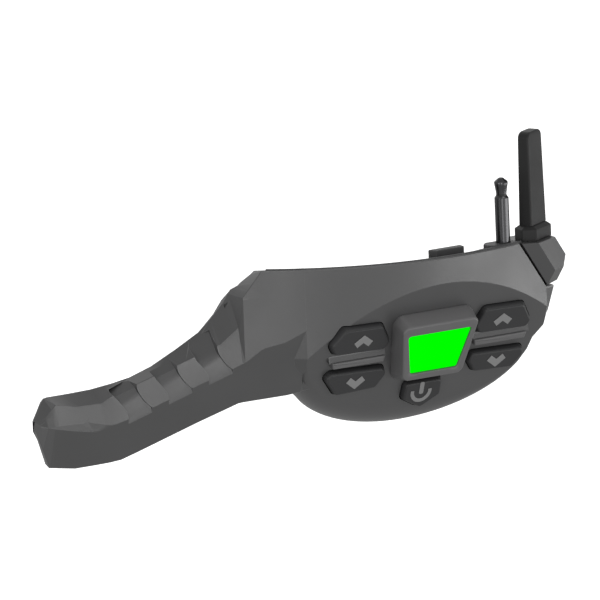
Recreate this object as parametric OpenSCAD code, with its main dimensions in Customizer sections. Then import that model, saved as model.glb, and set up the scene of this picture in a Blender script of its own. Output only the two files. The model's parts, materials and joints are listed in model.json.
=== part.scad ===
// Plug-on two-way radio with a microphone boom, for an electronic earmuff.
// Frame: +X runs to the rear, +Y inward to the wearer's head, +Z up along the plug.
// The origin is on the plug's axis, at the top face of the plug's base.

/* [Housing] */
// Radius of the curved outer band, seen from above
band_radius = 115; // [112:1:118]
// Depth of the back face behind the plug's axis
back_y = 21; // [20.5:0.1:21.5]
// Wall thickness of the housing and the boom
wall = 1.4; // [1.3:0.05:1.5]
// How far the control panel leans inward towards its lower edge, in degrees
panel_tilt = 21.6; // [21:0.2:22]
// Half the width of the oval control panel
panel_half_w = 32.5; // [32:0.25:33]
// Half the height of the oval control panel
panel_half_h = 19; // [18.5:0.25:19.5]
// Radius that rounds the panel's lower edge into the underside, over its left half
belly_radius = 8; // [7.5:0.25:8.5]

/* [Boom] */
// Thickness of the boom, from its outer ridge to its cover
boom_depth = 11; // [10.6:0.1:11.6]

/* [Keys and display] */
// Height of the keys above the panel
key_height = 1.6; // [1.2:0.1:2]
// How far a key travels when it is pressed
key_travel = 0.6; // [0.4:0.1:0.6]
// Gap between a key and its opening
key_gap = 0.25; // [0.2:0.05:0.3]
// Height of the display's bezel above the panel
bezel_height = 4.5; // [4:0.25:5]

/* [Plug] */
// Radius of the plug's shaft
plug_r = 1.75; // [1.75:0.05:1.75]
// Length of the plug above its base
plug_length = 16; // [15.5:0.1:16.2]

/* [Antenna] */
// Height of the antenna's tip above the plug's base
antenna_top = 26.2; // [24:0.2:28]
// Heading of the antenna's flat side, in degrees from +X
antenna_heading = 30; // [28:1:32]

/* [Hidden] */
$fn = 32;

gap = 0.05;               // assembly gap between two pieces that are fixed together
eps = 0.01;
band_x = -20;             // where the band stands out furthest
front_y = -5;             // how far it stands out there
tangent_x = -62;          // left of here the band runs on straight into the boom
top_slope = 0.26;         // fall of the top face towards the wearer's head
crease_z = -6.7;          // highest point of the edge between the band and the panel
panel_x = -23.5;          // middle of the oval panel
panel_u = -21.7;          // middle of the controls on it
main_right = 14;
end_rise = 0.6;           // how steeply the panel's lower edge rises right of its oval
fold_z = -13.2;           // below this the housing's right end leans inward
body_stations = concat([for (a = [5 : 10 : 175]) panel_x - panel_half_w * cos(a)], [11.4, main_right]);
main_left = body_stations[0];

// Plan curve of the outer band: an arc, then its tangent along the boom
function arc_y(x) = front_y + band_radius - sqrt(pow(band_radius, 2) - pow(x - band_x, 2));
tangent_slope = (tangent_x - band_x) / sqrt(pow(band_radius, 2) - pow(tangent_x - band_x, 2));
function band_y(x) = x > tangent_x ? arc_y(x) : arc_y(tangent_x) + tangent_slope * (x - tangent_x);

// Height of the top rim, which sags a little towards the plug
function rim_z(x) = -0.35 + 0.00062 * pow(x + 8, 2);

// The panel's plane in a section across X: v is the height up the plane from its highest point
function panel_point(v) = [front_y - v * sin(panel_tilt), crease_z + v * cos(panel_tilt)];
function crease_v(x) = -(band_y(x) - front_y) / sin(panel_tilt);
function belly_v(x) =
    -panel_half_h * (1 + sqrt(max(0, 1 - pow((x - panel_x) / panel_half_w, 2))))
    + end_rise * max(0, x - panel_x - panel_half_w);

// The radius tightens towards the right end
function belly_r(x) = lookup(x, [[-20, belly_radius], [6, 2.5]]);

// Sections across X, each a chain of [y, z] points
function leaned(x, p) = p + [lookup(x, [[11.4, 0], [main_right, 0.5]]) * max(0, fold_z - p[1]), 0];
function belly_arc(x) =
    let (r = belly_r(x))
    let (start = panel_point(belly_v(x) + r * tan(27)))
    let (mid = start + r * [cos(panel_tilt), sin(panel_tilt)])
    [for (a = [0 : 16 : 80]) leaned(x, mid + r * [cos(180 + panel_tilt + a), sin(180 + panel_tilt + a)])];
function front_chain(x) =
    let (crease = panel_point(crease_v(x)))
    let (fold = [band_y(x), max(fold_z, crease[1] + 1)])
    concat([[band_y(x), rim_z(x)], fold, leaned(x, crease)], belly_arc(x));
function back_chain(x) =
    let (belly_end = belly_arc(x)[5])
    [
        [band_y(x) + wall + gap, rim_z(x) - top_slope * wall],
        [back_y, rim_z(x) - top_slope * (back_y - band_y(x))],
        [back_y, belly_end[1] + 0.35 * (back_y - belly_end[0])],
        belly_end + [gap, 0]
    ];

// Moves a chain sideways by d, to its left when d is positive, keeping its wall even
function unit(v) = v / norm(v);
function left_of(v) = [-v[1], v[0]];
function shifted(chain, d) =
    [for (i = [0 : len(chain) - 1])
        let (before = left_of(unit(chain[max(i, 1)] - chain[max(i, 1) - 1])))
        let (last = len(chain) - 1)
        let (after = left_of(unit(chain[min(i, last - 1) + 1] - chain[min(i, last - 1)])))
        chain[i] + d * (before + after) / (1 + before * after)];

// Faces of a loft whose sections have n points each: its sides, then its two ends
function loft_sides(stations, n) =
    [for (s = [0 : stations - 2]) for (i = [0 : n - 1]) for (half = [0, 1])
        let (a = s * n + i, b = s * n + (i + 1) % n)
        half == 0 ? [b + n, b, a] : [a + n, b + n, a]];
function strip_end(first, n, flip) =
    [for (i = [0 : n / 2 - 2])
        let (quad = [first + i + 1, first + n - 2 - i, first + n - 1 - i, first + i])
        flip ? [quad[3], quad[2], quad[1], quad[0]] : quad];

// A wall along one chain at each station. It is as thick as inward says there, to the chain's left,
// or to its right where inward is negative.
function reversed(list) = [for (i = [len(list) - 1 : -1 : 0]) list[i]];
module wall_loft(stations, chains, inward) {
    n = len(chains[0]) * 2;
    last = len(stations) - 1;
    points = [for (s = [0 : last])
        let (inner = shifted(chains[s], inward[s]))
        let (ring = inward[s] > 0 ? concat(chains[s], reversed(inner)) : concat(inner, reversed(chains[s])))
        for (p = ring) [stations[s], p[0], p[1]]];
    polyhedron(points, concat(loft_sides(last + 1, n), strip_end(0, n, false), strip_end(last * n, n, true)));
}

// A solid with a closed convex section at each station
module solid_loft(stations, rings) {
    n = len(rings[0]);
    last = len(stations) - 1;
    points = [for (s = [0 : last]) for (p = rings[s]) [stations[s], p[0], p[1]]];
    ends = [[for (i = [0 : n - 1]) i], [for (i = [n - 1 : -1 : 0]) last * n + i]];
    polyhedron(points, concat(loft_sides(last + 1, n), ends));
}

// Places children on the panel: x along it, y up it, z out of it
module on_panel() translate([panel_u, front_y, crease_z]) rotate([90 + panel_tilt, 0, 0]) children();
module panel_prism(outline, low, high) translate([0, 0, low]) linear_extrude(high - low) polygon(outline);
function mirrored(outline) = [for (i = [len(outline) - 1 : -1 : 0]) [-outline[i][0], outline[i][1]]];

// Outlines on the panel, from its middle
left_up_outline = [[-29.2, -12.4], [-27.4, -15.2], [-13.2, -15.7], [-11.8, -13.4], [-14.7, -8.2], [-25.6, -7.9]];
left_down_outline = [[-29.2, -21.6], [-27.6, -20], [-12.4, -20.6], [-11.4, -22.8], [-13.9, -26.6], [-25.2, -27.1]];
right_up_outline = [[11.8, -13.2], [13.4, -15.7], [27.2, -16], [28.4, -14], [25.4, -8.7], [14.2, -8.4]];
right_down_outline = [[11.4, -23], [13.9, -26.8], [25, -27.3], [27.9, -23.6], [27.2, -21.4], [12.4, -20.9]];
power_outline = [[-5.3, -26.6], [-5.5, -31.6], [0, -34.8], [5.5, -31.6], [5.3, -26.6]];
rib_outline = [[-27.6, -17.3], [-27.2, -19.1], [-12.9, -19.1], [-12.5, -17.3]];
bezel_base = [[-11.4, -9.6], [-10, -7.2], [10, -7.2], [11.4, -9.6], [9.4, -24.2], [8, -25.6], [-8, -25.6], [-9.4, -24.2]];
bezel_front = [[-10.7, -9.4], [-9.6, -8.3], [9.6, -8.3], [10.7, -9.4], [8.5, -22.8], [7.4, -23.9], [-7.4, -23.9], [-8.5, -22.8]];
screen_outline = [[-9, -10.9], [9, -10.9], [6.6, -22], [-6.6, -22]];
screen_middle = [0, -16.4];
function screen_scaled(k) = [for (p = screen_outline) screen_middle + (p - screen_middle) * k];

// The boom's four outer edges: heights at hand-chosen stations, from its tip to the housing
edge_x = -70.5;           // the upright edge where the boom meets the housing
boom_top = [[-117, -32.5], [-114, -27], [-104, -26], [-95, -24], [-89, -21.2], [-83, -17.3], [-77.5, -13.4],
    [-75, -10.6], [-72, -6.9], [-70.3, -3.7], [-67.7, -2.4], [-64.6, 0.6], [-50, 0]];
boom_shoulder = [[-117, -32.7], [-113, -28], [-108, -28.8], [-102.5, -28.4], [-100, -26.7], [-94, -24.2],
    [-84.4, -20.2], [-75, -16.1], [-70.8, -12.4], [-70.2, -4.8], [-65.6, 1.7], [-55, 1], [-50, 0.7]];
boom_ridge = [[-117, -33.2], [-105, -34.3], [-100.5, -33.7], [-97.5, -32.7], [-70, -20.7], [-66, -17.7],
    [-61, -16.6], [-55, -13.7], [-50, -11.5]];
boom_keel = [[-117, -35], [-114, -44.2], [-108, -44.8], [-103, -44.3], [-98, -43.7], [-93.5, -41.8],
    [-80, -35.8], [-70, -31.6], [-59, -30.6], [-50, -29]];
boom_stations = [-117, -114, -108, -103, -100, -97.5, -94, -89, -83, -77.5, -75, -72, -70.8, -70.2, -67.7,
    -65.6, -61, -57, -53];
cover_stations = [-116.8, -114, -112, -108, -103, -98, -94, -89, -83, -77.5, -75, -72, -70, -67.7, -65.6, -61, main_left - 0.1];
function near_tip(x, at_tip, full) = lookup(x, [[-117, at_tip], [-113, full]]);
function split_top(x) = [band_y(x) + near_tip(x, 3.6, 6), lookup(x, boom_top)];
function split_low(x) =
    [band_y(x) + lookup(x, [[-117, 4.2], [-114, 5.8], [-111, 8]]), lookup(x, boom_keel) + 0.8];
function boom_chain(x) = [
    split_top(x),
    [band_y(x) + (x < edge_x ? 1.5 : 0), lookup(x, boom_shoulder)],
    [band_y(x), lookup(x, boom_ridge)],
    [band_y(x) + near_tip(x, 3, 4), lookup(x, boom_keel)],
    split_low(x)
];
function cover_chain(x) =
    let (y = band_y(x) + lookup(x, [[-117, 5], [-114, 7], [-112, boom_depth]]))
    let (fall = lookup(x, [[-117, 0.2], [-114, 1.2], [-112, 2.7], [-90, 3], [-70, 3.6], [-58, 1.5]]))
    let (rise = lookup(x, [[-117, 0.4], [-114, 4.2], [-112, 3]]))
    [
        split_top(x) + [gap, 0],
        [y, lookup(x, boom_top) - fall],
        [y, lookup(x, boom_keel) + rise],
        split_low(x) + [gap, 0]
    ];

// Fasteners through the housing's back and the boom's cover, as [x, z]
housing_screw_at = [[-51, -13], [9.8, -15.2], [-38, -35], [-4.5, -33.8]];
boom_screw_at = [[-98, -35], [-79, -26]];
screw_r = 1;
screw_head_r = 1.9;

// The corner of the housing that the antenna's pod takes
pod_cut = [[2.6, 3], [2.6, -0.1], [11.4, -12.8], [24, -12.8], [24, 3]];
pod_back_y = 9;
module pod_corner()
    translate([0, pod_back_y + 0.1, 0]) rotate([90, 0, 0]) linear_extrude(40) polygon(pod_cut);

module along_y(x, z, y) translate([x, y, z]) rotate([-90, 0, 0]) children();

// The outer shell's two walls, each made thicker by grow to clear a neighbour
module front_wall(grow)
    wall_loft(body_stations, [for (x = body_stations) front_chain(x)], [for (x = body_stations) wall + grow]);
module boom_wall(grow)
    wall_loft(boom_stations, [for (x = boom_stations) boom_chain(x)],
        [for (x = boom_stations) near_tip(x, 0.5, wall) + grow]);

module outer_shell() {
    color([0.30, 0.30, 0.31])
    difference() {
        union() {
            front_wall(0);
            boom_wall(0);
            screw_posts();
        }
        pod_corner();
        for (at = housing_screw_at) along_y(at[0], at[1], 8) cylinder(r = 0.8, h = 12);
        for (at = boom_screw_at) along_y(at[0], at[1], band_y(at[0]) + 3) cylinder(r = 0.8, h = 6);
        on_panel() control_openings();
        translate([0, 0, -8]) cylinder(r = plug_r + 0.45, h = 7);
        boss_block(pod_side_x, gap, -4, 2);
    }
}

// Posts inside the outer shell that take the screws, cut off inside its wall
module screw_posts() {
    for (at = housing_screw_at) along_y(at[0], at[1], post_start(at)) cylinder(r = 1.9, h = 17.4 - post_start(at));
    for (at = boom_screw_at) along_y(at[0], at[1], band_y(at[0]) + 2.6) cylinder(r = 2, h = 4);
}
function post_start(at) = wall / 2 + max(band_y(at[0]), front_y - (at[1] - crease_z) * tan(panel_tilt));

module control_openings() {
    for (outline = [left_up_outline, right_up_outline, left_down_outline, right_down_outline, power_outline])
        translate([0, 0, -3]) linear_extrude(6) offset(delta = key_gap) polygon(outline);
    panel_prism(screen_scaled(0.98), -3, 3);
}

module inner_shell() {
    color([0.16, 0.16, 0.17])
    difference() {
        union() {
            wall_loft(body_stations, [for (x = body_stations) back_chain(x)], [for (x = body_stations) -wall]);
            end_plates();
            for (at = housing_screw_at) along_y(at[0], at[1], 17.5) cylinder(r = 3, h = back_y - 17.5);
            door_ears();
        }
        pod_corner();
        front_wall(gap);
        boom_wall(gap);
        for (at = housing_screw_at) {
            along_y(at[0], at[1], 15) cylinder(r = screw_r + 0.1, h = 10);
            along_y(at[0], at[1], 19) cylinder(r = screw_head_r + 0.2, h = 5);
        }
        translate([door_x[0] - 0.3, back_y - 4, hinge_z - 1.5])
            cube([door_x[1] - door_x[0] + 0.6, 6, door_z[1] - hinge_z + 1.8]);
        translate([0, 0, -12]) cylinder(r = plug_r + 0.45, h = 14);
        boss_block(pod_side_x, gap, -4, 2);
        tab_block(gap, -4, 2);
    }
}

// Plates that close the two ends of the housing behind the outer shell
module end_plates() {
    right = [main_right - wall - 0.1, main_right - 0.1];
    solid_loft(right, [for (x = right) concat(shifted(front_chain(x), wall + gap), [
        [back_y - eps, back_chain(x)[2][1] + 0.2],
        [back_y - eps, back_chain(x)[1][1] - 0.2]])]);
    translate([main_left, band_y(main_left) + boom_depth + 0.3, back_chain(main_left)[2][1] + 0.5])
        cube([wall, back_y - 0.2 - band_y(main_left) - boom_depth - 0.3,
            back_chain(main_left)[1][1] - back_chain(main_left)[2][1] - 1]);
}

module boom_cover() {
    mic_x = mic_at[0];
    color([0.16, 0.16, 0.17])
    difference() {
        union() {
            wall_loft(cover_stations, [for (x = cover_stations) cover_chain(x)],
                [for (x = cover_stations) -near_tip(x, 0.2, wall)]);
            for (at = boom_screw_at)
                along_y(at[0], at[1], band_y(at[0]) + 6.7) cylinder(r = 2.6, h = boom_depth - 6.9);
        }
        boom_wall(gap);
        for (at = boom_screw_at) {
            along_y(at[0], at[1], band_y(at[0])) cylinder(r = screw_r + 0.1, h = 16);
            along_y(at[0], at[1], band_y(at[0]) + boom_depth - 2) cylinder(r = screw_head_r + 0.2, h = 6);
        }
        along_y(mic_x, mic_at[1], band_y(mic_x) + 7) cylinder(r = mic_grille_r + gap, h = 8);
    }
}

// Battery door: its span in x and z, and the axis of its hinge
door_x = [-47, 3];
door_z = [-27.6, -9.6];
hinge_y = 20;
hinge_z = -28.4;
hinge_pin_r = 0.5;
module along_x(x, y, z) translate([x, y, z]) rotate([0, 90, 0]) children();

module door_ears() {
    for (x = [door_x[0] - 0.2, door_x[1] - 2.2])
        difference() {
            union() {
                along_x(x, hinge_y, hinge_z) cylinder(r = 1, h = 2.4);
                translate([x, hinge_y - 2.5, hinge_z - 4]) cube([2.4, 2.6, 4]);
            }
            along_x(x - 1, hinge_y, hinge_z) cylinder(r = hinge_pin_r, h = 5);
        }
}

module battery_door() {
    barrel_x = door_x[0] + 2.6;
    barrel_h = door_x[1] - door_x[0] - 5.2;
    color([0.16, 0.16, 0.17])
    difference() {
        union() {
            translate([door_x[0], back_y - wall, door_z[0] + 0.4])
                cube([door_x[1] - door_x[0], wall, door_z[1] - door_z[0] - 0.4]);
            along_x(barrel_x, hinge_y, hinge_z) cylinder(r = 1, h = barrel_h);
            translate([barrel_x, hinge_y - 0.4, hinge_z]) cube([barrel_h, 1, 1.6]);
            for (i = [0 : 5])
                translate([door_x[0] + 14 + i * 4, back_y - eps, door_z[1] - 4]) cube([2, 0.35, 2]);
        }
        along_x(barrel_x - 1, hinge_y, hinge_z) cylinder(r = hinge_pin_r + 0.05, h = barrel_h + 2);
    }
}

module door_hinge_pin() {
    color([0.6, 0.6, 0.62])
    along_x(door_x[0] - 0.2, hinge_y, hinge_z) cylinder(r = hinge_pin_r, h = door_x[1] - door_x[0] + 0.4);
}

// The faceted corner piece that carries the antenna
module antenna_pod() {
    outer = [[3.6, -3.1, -0.6], [7.2, -4.8, -0.6], [14.1, -1.2, -0.6], [12.7, -3.1, -8.4], [17.6, -0.1, -5.6],
        [16.2, -1.3, -8.3], [11.9, -0.5, -12.4], [15.4, 0.8, -11.9]];
    inner = [[3.6, 6.6, -0.6], [14.1, 6.6, -0.6], [5.6, pod_back_y, -3], [14.4, pod_back_y, -3.2],
        [11.9, pod_back_y, -12.4], [15.4, pod_back_y, -6], [14.4, pod_back_y, -11.9]];
    color([0.28, 0.28, 0.29])
    difference() {
        hull() polyhedron(concat(outer, inner), [for (i = [0 : 3 : 12]) [i, i + 1, i + 2]]);
        translate([antenna_at[0], antenna_at[1], -9]) cylinder(r = 1.3, h = 12);
    }
}

// Antenna: a hexagonal collar, a flexible sheath, and the radiator inside it
antenna_at = [9.6, 1.7];
collar_top = 2.3;
mast_low = 3;
module at_antenna(z) translate([antenna_at[0], antenna_at[1], z]) rotate([0, 0, antenna_heading]) children();
function long_hexagon(length, width, point) =
    [[-length / 2, 0], [-length / 2 + point, -width / 2], [length / 2 - point, -width / 2],
        [length / 2, 0], [length / 2 - point, width / 2], [-length / 2 + point, width / 2]];

module antenna_collar() {
    color([0.13, 0.13, 0.13])
    difference() {
        union() {
            at_antenna(-0.55) linear_extrude(collar_top + 0.55) polygon(long_hexagon(11, 6.2, 1.8));
            hull() {
                at_antenna(collar_top - eps) linear_extrude(eps) polygon(long_hexagon(11, 6.2, 1.8));
                at_antenna(mast_low - eps) linear_extrude(eps) polygon(long_hexagon(8.4, 4.2, 0.9));
            }
        }
        translate([antenna_at[0], antenna_at[1], -3]) cylinder(r = 1.3, h = 12);
    }
}

module antenna_sheath() {
    color([0.11, 0.11, 0.11])
    difference() {
        hull() {
            at_antenna(mast_low) linear_extrude(eps) square([7.4, 3.5], center = true);
            for (side = [-1, 1])
                at_antenna(antenna_top - 1.7) translate([side * 1.7, 0, 0])
                    rotate([90, 0, 0]) cylinder(r = 1.7, h = 2.8, center = true);
        }
        translate([antenna_at[0], antenna_at[1], mast_low - 1]) cylinder(r = 1.1, h = antenna_top - mast_low - 1);
    }
}

module antenna_core() {
    length = antenna_top + 1.9;
    color([0.75, 0.6, 0.35])
    translate([antenna_at[0], antenna_at[1], -4]) cylinder(r = 1, h = length);
}

module antenna_feed() {
    color([0.8, 0.75, 0.6])
    translate([antenna_at[0], antenna_at[1], -8.6]) {
        cylinder(r = 1.2, h = 1.2);
        translate([0, 0, 1.2]) cylinder(r = 0.5, h = 3.3);
    }
}

module display_bezel() {
    color([0.25, 0.25, 0.26])
    on_panel() difference() {
        hull() {
            panel_prism(bezel_base, gap, 0.5);
            panel_prism(bezel_front, bezel_height - 0.5, bezel_height);
        }
        panel_prism(screen_outline, -1, bezel_height + 1);
    }
}

module display_lens() {
    color([0, 1, 0])
    on_panel() panel_prism(screen_scaled(0.98), bezel_height - 1.4, bezel_height - 0.4);
}

module display_module() {
    color([0.75, 0.78, 0.75])
    on_panel() panel_prism(screen_scaled(0.94), bezel_height - 3.2, bezel_height - 1.5);
}

module backlight() {
    color([0.9, 0.95, 0.85])
    on_panel() panel_prism(screen_scaled(0.92), -2.6, bezel_height - 3.3);
}

// Circuit board behind the panel, with what is soldered to it
board_low = -6.2;
board_high = -5.2;
board_outline = [for (a = [0 : 15 : 345]) [29.8 * cos(a), -18 + 13 * sin(a)]];
module main_board() {
    color([0.05, 0.3, 0.15])
    on_panel() panel_prism(board_outline, board_low, board_high);
}

module shield_can() {
    color([0.75, 0.75, 0.77])
    on_panel() difference() {
        translate([-26, -13.5, board_low - 1.7]) cube([18, 8, 1.65]);
        translate([-25.8, -13.3, board_low - 1.5]) cube([17.6, 7.6, 2]);
    }
}

module audio_chip() {
    color([0.08, 0.08, 0.08])
    on_panel() translate([8, -12, board_low - 1.05]) cube([6, 6, 1]);
}

key_centres = [[-20.4, -11.9], [20.4, -11.9], [-20.4, -23.6], [20.4, -23.6], [0, -29.6]];
module tact_switches() {
    color([0.7, 0.7, 0.7])
    on_panel() for (at = key_centres) translate([at[0] - 1.7, at[1] - 1.7, board_high + gap]) cube([3.4, 3.4, 0.5]);
}

module key_mat() {
    outline = [for (a = [0 : 15 : 345]) [29.2 * cos(a), -18.6 + 12.4 * sin(a)]];
    color([0.2, 0.2, 0.2])
    on_panel() difference() {
        union() {
            panel_prism(outline, -4.6, -4.1);
            for (at = key_centres) translate([at[0], at[1], -4.2]) cylinder(r = 2, h = pad_top + 4.2);
        }
        panel_prism(screen_outline, -6, -3);
    }
}

module panel_rib(outline) {
    color([0.33, 0.33, 0.34])
    on_panel() hull() {
        panel_prism(outline, gap, 0.3);
        panel_prism([for (p = outline) [p[0], (p[1] + 18.2) * 0.8 - 18.2]], 1.1, 1.4);
    }
}
module panel_rib_left() panel_rib(rib_outline);
module panel_rib_right() panel_rib(mirrored(rib_outline));

// A key: its raised cap, the flange that holds it behind the panel, and the foot that presses the mat.
// The flange is moved by shift up the panel, clear of the housing's curved walls.
pad_top = -3.7;
flange_top = -wall - 0.15;
flange_low = flange_top - 0.5;
module key(outline, centre, shift) {
    foot_low = pad_top + key_travel + 0.1;
    color([0.12, 0.12, 0.12])
    on_panel() {
        hull() {
            panel_prism(outline, flange_top - 0.1, 0.6);
            panel_prism([for (p = outline) centre + (p - centre) * 0.93], key_height - 0.2, key_height);
        }
        translate([0, shift, flange_low]) linear_extrude(flange_top - flange_low)
            offset(delta = 0.5) polygon(outline);
        translate([centre[0], centre[1], foot_low]) cylinder(r = 1.5, h = flange_low - foot_low + 0.1);
    }
}
module key_left_up() key(left_up_outline, key_centres[0], -0.8);
module key_right_up() key(right_up_outline, key_centres[1], -0.8);
module key_left_down() key(left_down_outline, key_centres[2], 0);
module key_right_down() key(right_down_outline, key_centres[3], 0);
module power_key() key(power_outline, key_centres[4], 0.6);

// Two cells lying one above the other behind the board
cell_r = 5.2;
cell_x = [-44, 0.5];
cell_at = [[13, -12.2], [14.1, -22.7]];
module battery_cell(at) {
    color([0.15, 0.35, 0.6]) {
        along_x(cell_x[0], at[0], at[1]) cylinder(r = cell_r, h = cell_x[1] - cell_x[0] - 1.2);
        along_x(cell_x[1] - 1.2, at[0], at[1]) cylinder(r = 1.9, h = 1.2);
    }
}
module battery_cell_upper() battery_cell(cell_at[0]);
module battery_cell_lower() battery_cell(cell_at[1]);

// Wire swept along a list of points, with a round section
function frame_at(points, i, up) =
    let (last = len(points) - 1)
    let (t = unit(points[min(i + 1, last)] - points[max(i - 1, 0)]))
    let (side = unit(cross(t, up)))
    [side, cross(t, side)];
module swept_wire(points, r, sides, up) {
    rings = [for (i = [0 : len(points) - 1]) for (k = [0 : sides - 1])
        let (f = frame_at(points, i, up))
        points[i] + r * (f[0] * cos(360 * k / sides) + f[1] * sin(360 * k / sides))];
    last = (len(points) - 1) * sides;
    ends = [[for (k = [0 : sides - 1]) k], [for (k = [sides - 1 : -1 : 0]) last + k]];
    polyhedron(rings, concat(loft_sides(len(points), sides), ends));
}

module battery_springs() {
    turns = 3.5;
    steps = 42;
    color([0.8, 0.8, 0.82])
    for (at = cell_at)
        swept_wire([for (i = [0 : steps]) [
            cell_x[0] - 2.6 + 2.2 * i / steps,
            at[0] + (3.6 - 1.4 * i / steps) * cos(360 * turns * i / steps),
            at[1] + (3.6 - 1.4 * i / steps) * sin(360 * turns * i / steps)]], 0.22, 6, [1, 0, 0]);
}

module battery_contacts() {
    color([0.8, 0.8, 0.82]) {
        for (at = cell_at) translate([cell_x[1] + gap, at[0] - 3.5, at[1] - 3.5]) cube([0.4, 7, 7]);
        translate([cell_x[0] - 3.3, cell_at[0][0] - 3.5, cell_at[1][1] - 3.5])
            cube([0.4, 7, cell_at[0][1] - cell_at[1][1] + 7]);
    }
}

// The plug and its base. The plug's shaft stands on the base, and its thinner stem goes through it.
pod_side_x = 3.25;
plug_stem_r = 1.5;
module boss_block(right, grow, low, high) {
    translate([0, 0, low]) linear_extrude(high - low) polygon([
        [-5.2 - grow, -1.2 - grow], [-4 - grow, -2.5 - grow], [right + grow, -2.5 - grow],
        [right + grow, 2.1 + grow], [-4 - grow, 2.1 + grow], [-5.2 - grow, 0.8 + grow]]);
}
module plug_boss() {
    color([0.13, 0.13, 0.13])
    difference() {
        boss_block(pod_side_x - 0.35, 0, -3, 0);
        translate([0, 0, -4]) cylinder(r = plug_r + 0.02, h = 6);
    }
}

sleeve_length = 11.1;
neck_low = 11.6;
tip_low = 11.9;
tip_r = 1.68;
module plug_sleeve() {
    color([0.45, 0.45, 0.47]) {
        cylinder(r = plug_r, h = sleeve_length);
        translate([0, 0, sleeve_length]) cylinder(r1 = plug_r, r2 = 1.35, h = neck_low - sleeve_length);
        translate([0, 0, -7]) cylinder(r = plug_stem_r, h = 7);
    }
}
module plug_insulator() {
    color([0.05, 0.05, 0.05])
    translate([0, 0, neck_low]) cylinder(r = 1.3, h = tip_low - neck_low);
}
module plug_tip() {
    color([0.45, 0.45, 0.47]) {
        translate([0, 0, tip_low]) cylinder(r1 = 1.28, r2 = tip_r, h = 2.9);
        translate([0, 0, tip_low + 2.9]) cylinder(r1 = tip_r, r2 = 0.65, h = plug_length - tip_low - 2.9);
    }
}
module plug_seal() {
    color([0.05, 0.05, 0.05])
    translate([0, 0, -3.9]) rotate_extrude() translate([plug_stem_r + 0.02, 0]) square([0.65, 0.8]);
}

// Tab that locates the radio in the earmuff's slot
tab_x = [-20.5, -11.4];
module tab_block(grow, low, high) {
    translate([0, 0, low]) linear_extrude(high - low) polygon([
        [tab_x[0] - grow, 0.4], [tab_x[0] + 1.1, -0.8 - grow], [tab_x[1] - 0.4, -0.8 - grow],
        [tab_x[1] + grow, -0.4], [tab_x[1] + grow, 1.4 + grow], [tab_x[0] - grow, 1.4 + grow]]);
}
module latch_tab() {
    color([0.13, 0.13, 0.13])
    tab_block(0, -3.5, 0.75);
}

// Microphone in the tip of the boom, facing the wearer's mouth
mic_at = [-109, -36];
mic_grille_r = 3;
module mic_capsule() {
    color([0.7, 0.7, 0.72])
    along_y(mic_at[0], mic_at[1], band_y(mic_at[0]) + 6.6) cylinder(r = 2, h = 2);
}
module mic_boot() {
    color([0.06, 0.06, 0.06])
    along_y(mic_at[0], mic_at[1], band_y(mic_at[0]) + 5.2) difference() {
        cylinder(r = 2.9, h = 3.9);
        translate([0, 0, 1.4 - gap]) cylinder(r = 2 + gap, h = 5);
    }
}
module mic_grille() {
    color([0.1, 0.1, 0.1])
    along_y(mic_at[0], mic_at[1], band_y(mic_at[0]) + boom_depth - 1.8) difference() {
        cylinder(r = mic_grille_r, h = 1.8);
        translate([0, 0, -1]) cylinder(r = 0.35, h = 4);
        for (a = [0 : 60 : 300]) rotate([0, 0, a]) translate([1.5, 0, -1]) cylinder(r = 0.35, h = 4);
    }
}
module mic_lead() {
    color([0.6, 0.1, 0.1])
    swept_wire([[-106, 26.5, -36], [-104.5, 25.5, -36], [-100, 23.2, -30.5], [-94, 20.8, -29.5], [-88, 18.4, -27],
        [-82, 16, -22.5], [-78, 14.6, -19.5], [-72, 12, -18.5], [-66, 9.6, -17], [-60, 8, -17], [-56, 7.4, -18],
        [-52, 7.8, -20]], 0.6, 8, [0, 0, 1]);
}

// Flat seal between the boom's two halves, at its tip
module boom_seal() {
    seal_x = -113.5;
    color([0.05, 0.05, 0.05])
    translate([seal_x, band_y(seal_x) + 5.5, -36]) cube([1.2, 1.1, 4]);
}

module screw(length) {
    difference() {
        union() {
            translate([0, 0, -length]) cylinder(r = 0.8, h = length);
            cylinder(r = screw_head_r, h = 1.1);
        }
        translate([0, 0, 0.4]) cylinder(r = 0.8, h = 2, $fn = 6);
    }
}
module housing_screws() {
    color([0.2, 0.2, 0.2])
    for (at = housing_screw_at) along_y(at[0], at[1], 19.05) screw(6);
}
module boom_screws() {
    color([0.2, 0.2, 0.2])
    for (at = boom_screw_at) along_y(at[0], at[1], band_y(at[0]) + boom_depth - 1.95) screw(5);
}

outer_shell();
inner_shell();
boom_cover();
antenna_pod();
antenna_collar();
antenna_sheath();
antenna_core();
antenna_feed();
display_bezel();
display_lens();
display_module();
backlight();
main_board();
shield_can();
audio_chip();
tact_switches();
key_mat();
panel_rib_left();
panel_rib_right();
key_left_up();
key_left_down();
key_right_up();
key_right_down();
power_key();
battery_cell_upper();
battery_cell_lower();
battery_springs();
battery_contacts();
battery_door();
door_hinge_pin();
plug_boss();
plug_sleeve();
plug_insulator();
plug_tip();
plug_seal();
latch_tab();
mic_capsule();
mic_boot();
mic_grille();
mic_lead();
boom_seal();
housing_screws();
boom_screws();
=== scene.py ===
"""Looks of the plug-on two-way radio with a microphone boom.

Frame: +X to the rear, +Y inward to the wearer's head, +Z up along the plug; the origin is on the
plug's axis, at the top face of its base. Shapes are worked out in millimetres and made in metres.
"""

import json
from math import atan2, cos, hypot, pi, radians, sin, sqrt, tan

import bmesh
import bpy
from mathutils import Matrix, Vector


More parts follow.
